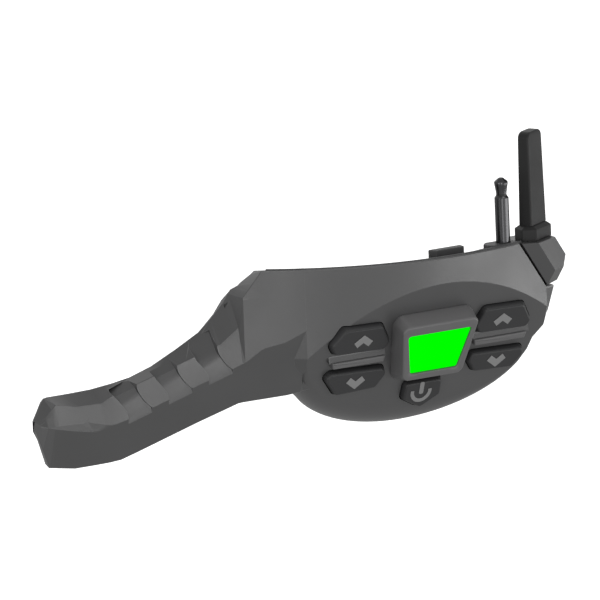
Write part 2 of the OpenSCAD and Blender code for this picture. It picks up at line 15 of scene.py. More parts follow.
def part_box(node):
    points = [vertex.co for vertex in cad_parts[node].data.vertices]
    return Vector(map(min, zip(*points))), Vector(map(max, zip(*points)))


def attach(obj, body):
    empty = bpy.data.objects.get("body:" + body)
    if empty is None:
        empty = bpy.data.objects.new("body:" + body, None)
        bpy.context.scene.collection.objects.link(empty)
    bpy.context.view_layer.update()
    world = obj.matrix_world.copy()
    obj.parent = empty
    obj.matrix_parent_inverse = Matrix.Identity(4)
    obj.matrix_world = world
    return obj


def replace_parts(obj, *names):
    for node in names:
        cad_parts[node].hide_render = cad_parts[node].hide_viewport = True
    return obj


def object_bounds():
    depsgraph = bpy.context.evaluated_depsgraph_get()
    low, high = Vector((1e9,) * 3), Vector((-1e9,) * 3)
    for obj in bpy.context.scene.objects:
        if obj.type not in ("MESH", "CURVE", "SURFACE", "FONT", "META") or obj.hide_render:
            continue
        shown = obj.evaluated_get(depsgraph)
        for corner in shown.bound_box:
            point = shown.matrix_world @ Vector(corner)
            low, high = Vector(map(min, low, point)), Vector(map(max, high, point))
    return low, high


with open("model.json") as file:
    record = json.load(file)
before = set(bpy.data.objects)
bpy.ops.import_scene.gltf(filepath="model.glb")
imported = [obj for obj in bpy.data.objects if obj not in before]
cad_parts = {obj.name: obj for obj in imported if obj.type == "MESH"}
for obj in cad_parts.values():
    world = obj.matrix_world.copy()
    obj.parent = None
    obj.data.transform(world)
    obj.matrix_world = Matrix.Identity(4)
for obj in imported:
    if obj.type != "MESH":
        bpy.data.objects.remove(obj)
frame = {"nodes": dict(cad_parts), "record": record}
CAD_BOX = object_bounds()
NODES = frame["nodes"]
MM = 0.001
HOUSING = "housing"
scene = bpy.context.scene

# ---------------------------------------------------------------- camera, floor and light

VIEW_AZIMUTH, VIEW_ELEVATION, VIEW_ROLL = -30.0, 12.5, 2.4
LENS, SENSOR = 800.0, 36.0
PICTURE_WIDTH = 146.2          # width of the picture at the object, in mm
AIM_RIGHT, AIM_UP = -49.5, -14.2   # the picture's middle from the origin, in mm


def make_camera():
    """A long lens far away, at the view's angle and with its slight roll."""
    a, e, roll = radians(VIEW_AZIMUTH), radians(VIEW_ELEVATION), radians(VIEW_ROLL)
    back = Vector((sin(a) * cos(e), -cos(a) * cos(e), sin(e)))
    right = Vector((cos(a), sin(a), 0.0))
    up = back.cross(right)
    right, up = right * cos(roll) - up * sin(roll), right * sin(roll) + up * cos(roll)
    distance = PICTURE_WIDTH * LENS / SENSOR
    place = right * AIM_RIGHT + up * AIM_UP + back * distance
    data = bpy.data.cameras.new("camera")
    data.lens, data.sensor_width = LENS, SENSOR
    data.clip_start, data.clip_end = 0.05, 60.0
    camera = bpy.data.objects.new("camera", data)
    camera.matrix_world = Matrix((
        (right.x, up.x, back.x, place.x * MM), (right.y, up.y, back.y, place.y * MM),
        (right.z, up.z, back.z, place.z * MM), (0, 0, 0, 1)))
    scene.collection.objects.link(camera)
    scene.camera = camera


def make_softbox(name, place, target, size, power):
    """A rectangular area light at place that faces target. The camera doesn't see it."""
    data = bpy.data.lights.new(name, "AREA")
    data.shape = "RECTANGLE"
    data.size, data.size_y = size
    data.energy = power
    light = bpy.data.objects.new(name, data)
    light.location = place
    light.rotation_euler = (Vector(target) - Vector(place)).to_track_quat("-Z", "Y").to_euler()
    light.visible_camera = False
    scene.collection.objects.link(light)


FLOOR_HALF, FLOOR_DROP = 12.0, 0.075   # half the floor's width, and its depth below the object, in m
FLOOR_GLOW = 0.75


def make_floor():
    """A wide pale floor well below the object. It blocks no light, as some softboxes are lower than it."""
    z = CAD_BOX[0].z - FLOOR_DROP
    corners = [(x * FLOOR_HALF, y * FLOOR_HALF, z) for x, y in ((-1, -1), (1, -1), (1, 1), (-1, 1))]
    mesh = bpy.data.meshes.new("floor")
    mesh.from_pydata(corners, [], [(0, 1, 2, 3)])
    floor = bpy.data.objects.new("floor", mesh)
    floor.visible_glossy = floor.visible_diffuse = floor.visible_shadow = False
    scene.collection.objects.link(floor)
    paper, tree, shader = new_material("floor_paper")
    shader.inputs["Roughness"].default_value = 0.9
    noise = add(tree, "ShaderNodeTexNoise", Scale=3.0, Detail=3.0)
    colour = mix_colour(tree, noise.outputs["Fac"], (0.86, 0.86, 0.86), (0.9, 0.9, 0.9))
    tree.links.new(colour, shader.inputs["Base Color"])
    shader.inputs["Emission Color"].default_value = (1, 1, 1, 1)
    shader.inputs["Emission Strength"].default_value = FLOOR_GLOW
    floor.data.materials.append(paper)


WORLD_LIGHT = 0.53
SOFTBOXES = [                  # name, azimuth and elevation in degrees, size in m, power; each is 1 m away
    ("right_box", 45, -12, (0.5, 0.25), 1.3),
    ("far_right_box", 72, -12, (0.4, 0.25), 1.05),
    ("front_box", 15, -12, (0.5, 0.25), 0.25),
    ("front_left_box", -18, -12, (0.4, 0.25), 0.6),
    ("raised_left_box", -16, 12, (0.4, 0.2), 1.15),
    ("left_box", -60, 5, (0.4, 0.4), 1.3),
    ("top_box", 30, 55, (0.5, 0.5), 1.05),
    ("back_box", 160, 35, (1.0, 1.0), 1.5),
]


def make_light():
    world = bpy.data.worlds.new("studio")
    world.use_nodes = True
    background = world.node_tree.nodes["Background"]
    background.inputs["Color"].default_value = (1, 1, 1, 1)
    background.inputs["Strength"].default_value = WORLD_LIGHT
    scene.world = world
    middle = (CAD_BOX[0] + CAD_BOX[1]) / 2
    for name, azimuth, elevation, size, power in SOFTBOXES:
        a, e = radians(azimuth), radians(elevation)
        place = middle + Vector((sin(a) * cos(e), -cos(a) * cos(e), sin(e)))
        make_softbox(name, place, middle, size, power)
    scene.view_settings.view_transform = "Standard"


# ---------------------------------------------------------------- materials

def new_material(name):
    """A new material with its node tree and shader. Its name differs from that of the CAD's own material."""
    mat = bpy.data.materials.new("finish_" + name)
    mat.use_nodes = True
    return mat, mat.node_tree, mat.node_tree.nodes["Principled BSDF"]


def add(tree, kind, **inputs):
    """A new node with its input values set. A noise node also gets the object's coordinates."""
    node = tree.nodes.new(kind)
    for key, value in inputs.items():
        node.inputs[key.replace("_", " ")].default_value = value
    if kind == "ShaderNodeTexNoise":
        coords = tree.nodes.get("coords") or tree.nodes.new("ShaderNodeTexCoord")
        coords.name = "coords"
        tree.links.new(coords.outputs["Object"], node.inputs["Vector"])
    return node


def mix_colour(tree, factor, low, high):
    """A mix of two colours, each an RGB triple or a socket, by a socket from 0 to 1."""
    node = tree.nodes.new("ShaderNodeMix")
    node.data_type = "RGBA"
    tree.links.new(factor, node.inputs["Factor"])
    for socket, value in ((node.inputs[6], low), (node.inputs[7], high)):
        if isinstance(value, tuple):
            socket.default_value = (*value, 1.0)
        else:
            tree.links.new(value, socket)
    return node.outputs[2]


def map_range(tree, source, low, high, to_low, to_high):
    """A socket that runs from to_low to to_high as source runs from low to high."""
    node = tree.nodes.new("ShaderNodeMapRange")
    tree.links.new(source, node.inputs["Value"])
    for i, value in enumerate((low, high, to_low, to_high)):
        node.inputs[i + 1].default_value = value
    return node.outputs["Result"]


def edge_mask(tree, radius):
    """1 at sharp edges and 0 on flat ground, from the rounded normal against the true one."""
    bevel = tree.nodes.new("ShaderNodeBevel")
    bevel.samples = 4
    bevel.inputs["Radius"].default_value = radius * MM
    geometry = tree.nodes.new("ShaderNodeNewGeometry")
    dot = tree.nodes.new("ShaderNodeVectorMath")
    dot.operation = "DOT_PRODUCT"
    tree.links.new(bevel.outputs["Normal"], dot.inputs[0])
    tree.links.new(geometry.outputs["True Normal"], dot.inputs[1])
    return map_range(tree, dot.outputs["Value"], 0.995, 0.85, 0.0, 1.0)


def surface(name, colour, roughness, metallic=0.0, specular=0.5, grain=0.2, depth=0.03, mottle=0.07,
            edge_highlight=0.35, edge_highlight_radius=0.25, coat=0.0):
    """A procedural finish: fine grain as bump, slow changes of tone and gloss, and a painted highlight that
    lightens sharp edges.

    grain is the size of the grain, depth its height and edge_highlight_radius the width of the painted edge
    highlight, in mm.
    mottle is how much the tone changes, and edge_highlight how strong the painted edge highlight is, from 0
    to 1.
    """
    mat, tree, shader = new_material(name)
    shader.inputs["Metallic"].default_value = metallic
    shader.inputs["Specular IOR Level"].default_value = specular
    shader.inputs["Coat Weight"].default_value = coat
    fine = add(tree, "ShaderNodeTexNoise", Scale=1 / (grain * MM), Detail=3.0, Roughness=0.6)
    slow = add(tree, "ShaderNodeTexNoise", Scale=70.0, Detail=3.0)
    low = tuple(c * (1 - mottle) for c in colour)
    high = tuple(c * (1 + mottle) for c in colour)
    base = mix_colour(tree, slow.outputs["Fac"], low, high)
    speck = map_range(tree, fine.outputs["Fac"], 0.35, 0.65, 0.0, 0.25)
    base = mix_colour(tree, speck, base, tuple(c * (1 + 2 * mottle) for c in colour))
    # Painted highlight: sharp edges are mixed toward a much lighter tone, standing in for light caught along
    # rounded edges.
    if edge_highlight:
        edge_highlight_mix = map_range(tree, edge_mask(tree, edge_highlight_radius), 0.0, 1.0, 0.0, edge_highlight)
        base = mix_colour(tree, edge_highlight_mix, base, tuple(min(1.0, c * 2.2 + 0.03) for c in colour))
    tree.links.new(base, shader.inputs["Base Color"])
    gloss = map_range(tree, slow.outputs["Fac"], 0.3, 0.7, roughness - 0.05, roughness + 0.05)
    tree.links.new(gloss, shader.inputs["Roughness"])
    bump = add(tree, "ShaderNodeBump", Strength=0.5, Distance=depth * MM)
    tree.links.new(fine.outputs["Fac"], bump.inputs["Height"])
    tree.links.new(bump.outputs["Normal"], shader.inputs["Normal"])
    return mat


def screen_surface(name):
    """A lit display: even green with a slow change of tone and a finely mottled gloss."""
    mat, tree, shader = new_material(name)
    slow = add(tree, "ShaderNodeTexNoise", Scale=60.0, Detail=2.0)
    fine = add(tree, "ShaderNodeTexNoise", Scale=2500.0, Detail=1.0)
    tone = mix_colour(tree, slow.outputs["Fac"], (0.0, 0.97, 0.0), (0.0, 1.0, 0.0))
    shader.inputs["Base Color"].default_value = (0.0, 0.0, 0.0, 1.0)
    tree.links.new(tone, shader.inputs["Emission Color"])
    shader.inputs["Emission Strength"].default_value = 1.0
    shader.inputs["Specular IOR Level"].default_value = 0.0
    gloss = map_range(tree, fine.outputs["Fac"], 0.3, 0.7, 0.45, 0.55)
    tree.links.new(gloss, shader.inputs["Roughness"])
    return mat


SURFACES = {                   # the record's material slots: colour and roughness, then what is special
    "housing_grey": surface("housing_grey", (0.045, 0.045, 0.0455), 0.36, specular=0.9, grain=0.12,
                            depth=0.012, edge_highlight=0.7, edge_highlight_radius=0.2),
    "bezel_grey": surface("bezel_grey", (0.085, 0.084, 0.085), 0.48, specular=0.9, grain=0.12,
                          depth=0.012, edge_highlight=0.5),
    "shell_black": surface("shell_black", (0.05, 0.05, 0.051), 0.5, grain=0.15, depth=0.02),
    "antenna_rubber": surface("antenna_rubber", (0.012, 0.012, 0.012), 0.5, specular=0.35, grain=0.3,
                              depth=0.01, edge_highlight=0.2),
    "key_rubber": surface("key_rubber", (0.018, 0.018, 0.019), 0.48, grain=0.1, depth=0.01, edge_highlight=0.25),
    "screen_green": screen_surface("screen_green"),
    "module_white": surface("module_white", (0.72, 0.72, 0.7), 0.5, edge_highlight=0.0),
    "board_green": surface("board_green", (0.02, 0.12, 0.05), 0.3, coat=0.3, edge_highlight=0.0),
    "tinned_steel": surface("tinned_steel", (0.6, 0.6, 0.62), 0.3, metallic=1.0, edge_highlight=0.0),
    "chip_black": surface("chip_black", (0.02, 0.02, 0.02), 0.5, edge_highlight=0.0),
    "mat_silicone": surface("mat_silicone", (0.12, 0.12, 0.12), 0.6, edge_highlight=0.0),
    "antenna_brass": surface("antenna_brass", (0.6, 0.42, 0.16), 0.3, metallic=1.0, edge_highlight=0.0),
    "cell_blue": surface("cell_blue", (0.05, 0.13, 0.35), 0.3, coat=0.3, edge_highlight=0.0),
    "dark_chrome": surface("dark_chrome", (0.08, 0.08, 0.083), 0.22, metallic=1.0, grain=0.05, depth=0.002,
                           edge_highlight=0.0),
    "insulator_black": surface("insulator_black", (0.01, 0.01, 0.01), 0.4, edge_highlight=0.0),
    "grille_black": surface("grille_black", (0.012, 0.012, 0.012), 0.5),
    "lead_red": surface("lead_red", (0.35, 0.02, 0.02), 0.4, edge_highlight=0.0),
    "screw_black": surface("screw_black", (0.03, 0.03, 0.03), 0.32, metallic=0.8, grain=0.08, depth=0.004),
}
ICON_GREY = surface("icon_grey", (0.19, 0.19, 0.19), 0.5, grain=0.08, depth=0.006, edge_highlight=0.2)


# ---------------------------------------------------------------- mesh helpers

def make_piece(name, slot, verts, faces, body=HOUSING, place=None, material=None, smooth=30.0):
    """A closed mesh from points in mm, welded, with its normals outward. place moves the points first.

    A piece with no slot is raw material for a Boolean, and gets its finish and body later.
    """
    bm = bmesh.new()
    points = [bm.verts.new((place @ Vector(v) if place else Vector(v)) * MM) for v in verts]
    for face in faces:
        bm.faces.new([points[i] for i in face])
    bmesh.ops.remove_doubles(bm, verts=bm.verts, dist=1e-7)
    bmesh.ops.dissolve_degenerate(bm, edges=bm.edges, dist=1e-7)
    bmesh.ops.recalc_face_normals(bm, faces=bm.faces)
    mesh = bpy.data.meshes.new(name)
    bm.to_mesh(mesh)
    bm.free()
    piece = bpy.data.objects.new(name, mesh)
    scene.collection.objects.link(piece)
    if slot:
        mesh.materials.append(material or SURFACES[slot])
        shade(piece, smooth)
        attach(piece, body)
    return piece


def shade(piece, angle):
    """Smooth shading broken at edges sharper than angle, weighted so that wide faces stay flat."""
    piece.data.shade_smooth()
    piece.data.set_sharp_from_angle(angle=radians(angle))
    weigh(piece)


def weigh(piece):
    """Weights the normals by the area of the faces."""
    weighted = piece.modifiers.new("weighted", "WEIGHTED_NORMAL")
    weighted.keep_sharp = True


def soften(piece, width, angle=30.0, segments=2):
    """Rounds the edges of a piece that are sharper than angle, by width in mm."""
    bevel = piece.modifiers.new("edges", "BEVEL")
    bevel.width = width * MM
    bevel.segments = segments
    bevel.limit_method = "ANGLE"
    bevel.angle_limit = radians(angle)


def loft(rings, ends=True):
    """Verts and faces of a tube through rings that have the same number of points."""
    n = len(rings[0])
    verts = [p for ring in rings for p in ring]
    faces = [(s * n + i, s * n + (i + 1) % n, (s + 1) * n + (i + 1) % n, (s + 1) * n + i)
             for s in range(len(rings) - 1) for i in range(n)]
    if ends:
        faces += [tuple(range(n)), tuple((len(rings) - 1) * n + i for i in range(n))]
    return verts, faces


def strip_loft(rings):
    """As loft, for rings that are thin strips there and back: its ends are rows of quads."""
    verts, faces = loft(rings, ends=False)
    n = len(rings[0])
    for first in (0, (len(rings) - 1) * n):
        last = first + n - 1
        faces += [(first + i, first + i + 1, last - 1 - i, last - i) for i in range(n // 2 - 1)]
    return verts, faces


def join(parts):
    """Several (verts, faces) as one."""
    verts, faces = [], []
    for more_verts, more_faces in parts:
        faces += [tuple(i + len(verts) for i in f) for f in more_faces]
        verts += more_verts
    return verts, faces


def lathe(profile, sides=96):
    """Turns (radius, height) points about +Z. They start and end on the axis, or close on themselves."""
    closed = profile[0][0] > 0
    rings = [[(r * cos(2 * pi * k / sides), r * sin(2 * pi * k / sides), z) for k in range(sides)]
             for r, z in profile if r > 0]
    verts, faces = loft(rings, ends=False)
    n = len(rings) * sides
    last = n - sides
    if closed:
        faces += [(last + k, last + (k + 1) % sides, (k + 1) % sides, k) for k in range(sides)]
    else:
        verts += [(0, 0, profile[0][1]), (0, 0, profile[-1][1])]
        faces += [(n, (k + 1) % sides, k) for k in range(sides)]
        faces += [(n + 1, last + k, last + (k + 1) % sides) for k in range(sides)]
    return verts, faces


def combine(target, other, operation):
    """Applies an exact Boolean of other to target, and removes other."""
    boolean = target.modifiers.new("boolean", "BOOLEAN")
    boolean.operation, boolean.solver, boolean.object = operation, "EXACT", other
    bpy.context.view_layer.update()
    solid = bpy.data.meshes.new_from_object(target.evaluated_get(bpy.context.evaluated_depsgraph_get()))
    target.modifiers.remove(boolean)
    target.data = solid
    bpy.data.objects.remove(other)


# Outlines: lists of (x, y) points, counter-clockwise or clockwise

def rounded(outline, radius, steps=4):
    """The outline with each corner replaced by a short curve."""
    out = []
    for i, corner in enumerate(outline):
        corner = Vector(corner)
        before, after = Vector(outline[i - 1]), Vector(outline[(i + 1) % len(outline)])
        back, on = (before - corner), (after - corner)
        half_turn = (pi - back.angle(on)) / 2
        cut = min(radius * tan(half_turn), 0.45 * back.length, 0.45 * on.length)
        start, end = corner + back.normalized() * cut, corner + on.normalized() * cut
        for k in range(steps + 1):
            t = k / steps
            out.append(tuple(start * (1 - t) ** 2 + corner * 2 * t * (1 - t) + end * t * t))
    return out


def inset(outline, d):
    """The outline moved inward by d, or outward where d is negative."""
    area = sum(a[0] * b[1] - b[0] * a[1] for a, b in zip(outline, outline[1:] + outline[:1]))
    turn = 1 if area > 0 else -1
    out = []
    for i, point in enumerate(outline):
        a, b, c = Vector(outline[i - 1]), Vector(point), Vector(outline[(i + 1) % len(outline)])
        u, v = (b - a).normalized(), (c - b).normalized()
        left = (Vector((-u.y, u.x)) + Vector((-v.y, v.x))) * turn
        out.append(tuple(b + left * d / (1 + u.dot(v))))
    return out


def mirrored(outline):
    """The outline mirrored in x = 0, still running the same way round."""
    return [(-x, y) for x, y in reversed(outline)]


def stack(levels):
    """A solid through flat outlines: levels are (outline, height) pairs."""
    return loft([[(x, y, z) for x, y in outline] for outline, z in levels])


def lookup(table, x):
    """The value at x from a table of (x, value) pairs: straight between them, and level beyond its ends."""
    if x <= table[0][0]:
        return table[0][1]
    for (x0, v0), (x1, v1) in zip(table, table[1:]):
        if x <= x1:
            return v0 + (v1 - v0) * (x - x0) / (x1 - x0)
    return table[-1][1]


# ---------------------------------------------------------------- housing and boom

WALL = 1.4
BAND_RADIUS, BAND_X, FRONT_Y, TANGENT_X = 115.0, -20.0, -5.0, -62.0
CREASE_Z, PANEL_X, PANEL_U = -6.7, -23.5, -21.7
TILT = radians(21.6)
PANEL_HALF_W, PANEL_HALF_H = 32.5, 19.0
MAIN_RIGHT, END_RISE = 14.0, 0.6
BELLY_R = [(-20, 8.0), (6, 2.5)]
FOLD_Z, FOLD_LEAN = -13.2, [(11.4, 0.0), (14, 0.5)]   # below this the housing's right end leans inward
PANEL = Matrix.Translation((PANEL_U, FRONT_Y, CREASE_Z)) @ Matrix.Rotation(pi / 2 + TILT, 4, "X")


def band_y(x):
    """The outer band in plan: an arc, then its tangent along the boom."""
    at = max(x, TANGENT_X)
    root = sqrt(BAND_RADIUS ** 2 - (at - BAND_X) ** 2)
    y = FRONT_Y + BAND_RADIUS - root
    return y if x > TANGENT_X else y + (TANGENT_X - BAND_X) / root * (x - TANGENT_X)


def rim_z(x):
    """Height of the outer shell's top rim."""
    return -0.35 + 0.00062 * (x + 8) ** 2


def panel_yz(v):
    """The (y, z) point at height v up the tilted panel, from its crease."""
    return Vector((FRONT_Y - v * sin(TILT), CREASE_Z + v * cos(TILT)))


def belly_v(x):
    """Height on the panel of the housing's underside at x."""
    side = (x - PANEL_X) / PANEL_HALF_W
    beyond = max(0.0, x - PANEL_X - PANEL_HALF_W)
    return -PANEL_HALF_H * (1 + sqrt(max(0.0, 1 - side * side))) + END_RISE * beyond


def body_chain(x):
    """Outer section of the housing at x, as (y, z) points from its rim down to its underside."""
    y, r = band_y(x), lookup(BELLY_R, x)
    crease_v = -(y - FRONT_Y) / sin(TILT)
    middle = panel_yz(belly_v(x) + r * tan(radians(27))) + r * Vector((cos(TILT), sin(TILT)))
    arc = [middle + r * Vector((cos(pi + TILT + radians(a)), sin(pi + TILT + radians(a))))
           for a in range(0, 81, 5)]
    crease = panel_yz(crease_v)
    fold = Vector((y, max(FOLD_Z, crease.y + 1.0)))
    lean = lookup(FOLD_LEAN, x)
    lower = [p + Vector((lean * max(0.0, FOLD_Z - p.y), 0.0)) for p in [crease] + arc]
    return [Vector((y + 0.3, rim_z(x))), Vector((y, rim_z(x) - 0.3)), fold] + lower


def shifted(chain, d):
    """The chain moved sideways by d, keeping its wall even."""
    out = []
    last = len(chain) - 1
    for i, p in enumerate(chain):
        u = (chain[max(i, 1)] - chain[max(i, 1) - 1]).normalized()
        v = (chain[min(i, last - 1) + 1] - chain[min(i, last - 1)]).normalized()
        out.append(p + Vector((-u.y - v.y, u.x + v.x)) * d / (1 + u.dot(v)))
    return out


def soft_corners(chain, radii, steps=3):
    """The chain with the corners that have a radius in radii, {index: radius}, turned into short curves."""
    out = []
    for i, p in enumerate(chain):
        if i not in radii:
            out.append(p)
            continue
        back, on = chain[i - 1] - p, chain[i + 1] - p
        half_turn = (pi - back.angle(on)) / 2
        cut = min(radii[i] * tan(half_turn), 0.4 * back.length, 0.4 * on.length)
        start, end = p + back.normalized() * cut, p + on.normalized() * cut
        out += [start * (1 - t) ** 2 + p * 2 * t * (1 - t) + end * t * t
                for t in (k / steps for k in range(steps + 1))]
    return out


INNER_CORNER = 0.1


def wall_ring(x, chain, wall, radii):
    """One ring of a walled loft: the chain with soft corners, and back along its inner side."""
    inner_radii = {i: INNER_CORNER for i in radii}
    outer = soft_corners(chain, radii)
    inner = soft_corners(shifted(chain, wall), inner_radii)
    if x < SOLID_TIP:
        inner = [chain[0].lerp(chain[-1], i / (len(inner) - 1)) for i in range(len(inner))]
    return [(x, p.x, p.y) for p in outer + inner[::-1]]


# Heights of the boom's long edges, as (x, z) pairs from its tip to the housing
BOOM_TOP = [(-117, -32.5), (-114, -27), (-104, -26), (-95, -24), (-89, -21.2), (-83, -17.3),
            (-77.5, -13.4), (-75, -10.6), (-72, -6.9), (-70.3, -3.7), (-67.7, -2.4), (-64.6, 0.6), (-50, 0)]
BOOM_SHOULDER = [(-117, -32.7), (-113, -28), (-108, -28.8), (-102.5, -28.4), (-100, -26.7), (-94, -24.2),
                 (-84.4, -20.2), (-75, -16.1), (-70.8, -12.4), (-70.2, -4.8), (-65.6, 1.7), (-55, 1),
                 (-50, 0.7)]
BOOM_RIDGE = [(-117, -33.2), (-105, -34.3), (-100.5, -33.7), (-97.5, -32.7), (-70, -20.7), (-66, -17.7),
              (-61, -16.6), (-55, -13.7), (-50, -11.5)]
BOOM_KEEL = [(-117, -35), (-114, -44.2), (-108, -44.8), (-103, -44.3), (-98, -43.7), (-93.5, -41.8),
             (-80, -35.8), (-70, -31.6), (-59, -30.6), (-50, -29)]
BOOM_STATIONS = [-117, -115.5, -114, -113, -110.5, -108, -105, -103, -102.5, -100, -97.5, -95, -94, -91.5,
                 -89, -86, -83, -80, -77.5, -75, -72, -70.8, -70.2, -69, -67.7, -66.5, -65.6, -64.6, -61,
                 -59, -57, -55.9, -55.4, -53]
SOLID_TIP = -114.5             # left of here the boom is solid
TIP_WALL = 0.12                # wall at the very tip
BOOM_WALL = 2.2                # thicker than the CAD wall, so that the grooves don't break through it
EDGE_X = -70.5                 # the upright edge where the boom meets the housing
WAIST_Z = [(-70.2, -5.0), (-60.8, -5.4), (-50, -5.6)]     # (x, z) of the waist, right of that edge
WAIST_OUT = [(-70.6, 0.0), (-70.2, 0.2), (-60.8, 0.0)]    # how far it stands out there
LOW_OUT = [(-117, 4.2), (-114, 5.8), (-111, 8)]           # depth of the lower edge behind the ridge
DIP = [(-55.9, 0.0), (-55.4, 0.4)]   # the boom's end dips into the housing's wall
RAMP_LENGTH, RAMP_DEPTH = 2.6, 2.5   # the housing's end slopes down into the boom


def near_tip(x, at_tip, full):
    """A measure that has one value at the boom's tip and grows to the full one."""
    return lookup([(-117, at_tip), (-113, full)], x)


def boom_chain(x):
    """Outer section of the boom at x: its top edge, shoulder, waist, ridge, keel and lower edge."""
    y = band_y(x) + lookup(DIP, x)
    top, shoulder = lookup(BOOM_TOP, x), lookup(BOOM_SHOULDER, x)
    ridge, keel = lookup(BOOM_RIDGE, x), lookup(BOOM_KEEL, x)
    if x < EDGE_X:
        back = near_tip(x, 1.2, 1.5)
        waist = Vector((y + 0.7 * back, ridge + 0.7 * (shoulder - ridge)))
    else:
        back = 0.0
        waist = Vector((y - lookup(WAIST_OUT, x), min(lookup(WAIST_Z, x), shoulder - 0.4)))
    return [
        Vector((y + near_tip(x, 3.6, 6), top)),
        Vector((y + back, shoulder)),
        waist,
        Vector((y, ridge)),
        Vector((y + near_tip(x, 3, 4), keel)),
        Vector((y + lookup(LOW_OUT, x), keel + 0.8)),
    ]


def groove(rows):
    """A cutter for the boom's face. Each row holds (x, z, depth) points of its floor, from left to right."""
    outside, flare = -4.0, 1.2
    rings = []
    for row in rows:
        (x0, z0, _), (x1, z1, _) = row[0], row[-1]
        ring = [(x0 - flare, band_y(x0 - flare) + outside, z0)]
        ring += [(x, band_y(x) + depth, z) for x, z, depth in row]
        ring += [(x1 + flare, band_y(x1 + flare) + outside, z1)]
        rings.append(ring)
    verts, faces = loft(rings)
    return verts, [tri for f in faces for tri in ((f[0], f[i], f[i + 1]) for i in range(1, len(f) - 1))]


# The grooves between the boom's plates. The tables go by height above the boom's ridge line.
PLATE_AT, PLATE_PITCH = (-100.85, -29.9), (9.35, 3.9)   # (x, z) of the first, and from one to the next
GROOVE_LEFT = [(-4, 3.7), (0, 3.4), (1.55, 3.3), (4.15, 2.2), (6.85, 0.9), (12, 0.6)]
GROOVE_RIGHT = [(-4, 9.9), (0, 9.25), (1.9, 7.95), (5.2, 6.65), (7.3, 6.35), (12, 6.6)]
GROOVE_LEDGE = [1.55, 2.4, 4.3]      # height of the sloping ledge over each groove
GROOVE_SLANT = 0.3                   # its side walls lean in by this much
RIDGE_X, RIDGE_Z, RIDGE_SLOPE = 3.4, -2.7, 0.46   # the ridge line, from each plate's own point


def plate_groove(count):
    """The groove right of plate number count, cut along the boom's slope."""
    x0, z0 = PLATE_AT[0] + count * PLATE_PITCH[0], PLATE_AT[1] + count * PLATE_PITCH[1]
    ledge = 6.0 + GROOVE_LEDGE[count]
    floor = [(-4, -0.6), (-1.4, 0.5), (0, 0.45), (3.8, 1.2), (6.0, 2.2), (ledge, 5.4), (ledge + 1, 2.0)]
    rows = []
    for h in (-4, -1.4, 0, 1.5, 2.7, 3.8, 5.0, 6.0, ledge, ledge + 1):
        row = []
        for x in (lookup(GROOVE_LEFT, h) + GROOVE_SLANT, lookup(GROOVE_RIGHT, h) - GROOVE_SLANT):
            row.append((x0 + x, z0 + RIDGE_Z + RIDGE_SLOPE * (x - RIDGE_X) + h, lookup(floor, h)))
        rows.append(row)
    return groove(rows)


# Three slanted lines across the boom's tip, each (top, bottom) as (x, z)
TIP_CUT = [((-115, -27.5), (-117, -33)), ((-108.7, -28.7), (-105.3, -34.5)),
           ((-103.6, -28.2), (-100.8, -33.8))]
TIP_CUT_DEPTH = 0.45


def slanted_cut(left, middle, right, depth):
    """A shallow V between three lines, each (top, bottom) as (x, z), that is deepest along the middle one."""
    rows = []
    for t in (-0.12, 1.12):
        row = []
        for (top, bottom), d in ((left, -0.02), (middle, depth), (right, -0.02)):
            row.append((top[0] + (bottom[0] - top[0]) * t, top[1] + (bottom[1] - top[1]) * t, d))
        rows.append(row)
    return groove(rows)


# Outlines on the tilted panel, as (x, y) from the middle of its crease
LEFT_UP = [(-29.2, -12.4), (-27.4, -15.2), (-13.2, -15.7), (-11.8, -13.4), (-14.7, -8.2), (-25.6, -7.9)]
LEFT_DOWN = [(-29.2, -21.6), (-27.6, -20), (-12.4, -20.6), (-11.4, -22.8), (-13.9, -26.6), (-25.2, -27.1)]
RIGHT_UP = [(11.8, -13.2), (13.4, -15.7), (27.2, -16), (28.4, -14), (25.4, -8.7), (14.2, -8.4)]
RIGHT_DOWN = [(11.4, -23), (13.9, -26.8), (25, -27.3), (27.9, -23.6), (27.2, -21.4), (12.4, -20.9)]
POWER = [(-5.3, -26.6), (-5.5, -31.6), (0, -34.8), (5.5, -31.6), (5.3, -26.6)]
SCREEN = [(-9, -10.9), (9, -10.9), (6.6, -22), (-6.6, -22)]
SCREEN_Y = -16.4               # the display's middle
KEY_GAP, KEY_CORNER = 0.25, 1.6
KEYS = {
    "key_left_up": LEFT_UP, "key_right_up": RIGHT_UP, "key_left_down": LEFT_DOWN,
    "key_right_down": RIGHT_DOWN, "power_key": POWER,
}
# (x, z) of the screws, the corner cut away for the antenna pod, and the plug base's outline in plan
HOUSING_SCREWS = [(-51, -13), (9.8, -15.2), (-38, -35), (-4.5, -33.8)]
BOOM_SCREWS = [(-98, -35), (-79, -26)]
POD_CUT = [(2.6, 3), (2.6, -0.1), (11.4, -12.8), (24, -12.8), (24, 3)]
POD_BACK_Y = 9.1
BOSS_CUT = [(-5.25, -1.25), (-4.05, -2.55), (3.2, -2.55), (3.2, 2.15), (-4.05, 2.15), (-5.25, 0.85)]
ALONG_Y = Matrix(((1, 0, 0, 0), (0, 0, 1, 0), (0, 1, 0, 0), (0, 0, 0, 1)))


def moved(shape, place):
    """The (verts, faces) moved by a matrix."""
    return [tuple(place @ Vector(v)) for v in shape[0]], shape[1]


CREASE_SOFT = 0.9              # radius of the crease, which is point 3 of body_chain
BOOM_SOFT = {1: 0.3, 2: 0.5, 3: 0.35, 4: 0.5}   # radii of boom_chain's shoulder, waist, ridge and keel


def body_shell():
    """The housing's outer wall, in stations that are closest together at its left end."""
    angles = [5, 7] + list(range(10, 155, 4)) + [155, 165, 175]
    stations = [PANEL_X - PANEL_HALF_W * cos(radians(a)) for a in angles] + [11.4, MAIN_RIGHT]
    rings = [wall_ring(x, body_chain(x), WALL, {3: CREASE_SOFT}) for x in stations]
    ramp = [(x - RAMP_LENGTH, y + RAMP_DEPTH, z) for x, y, z in rings[0]]
    return strip_loft([ramp] + rings)


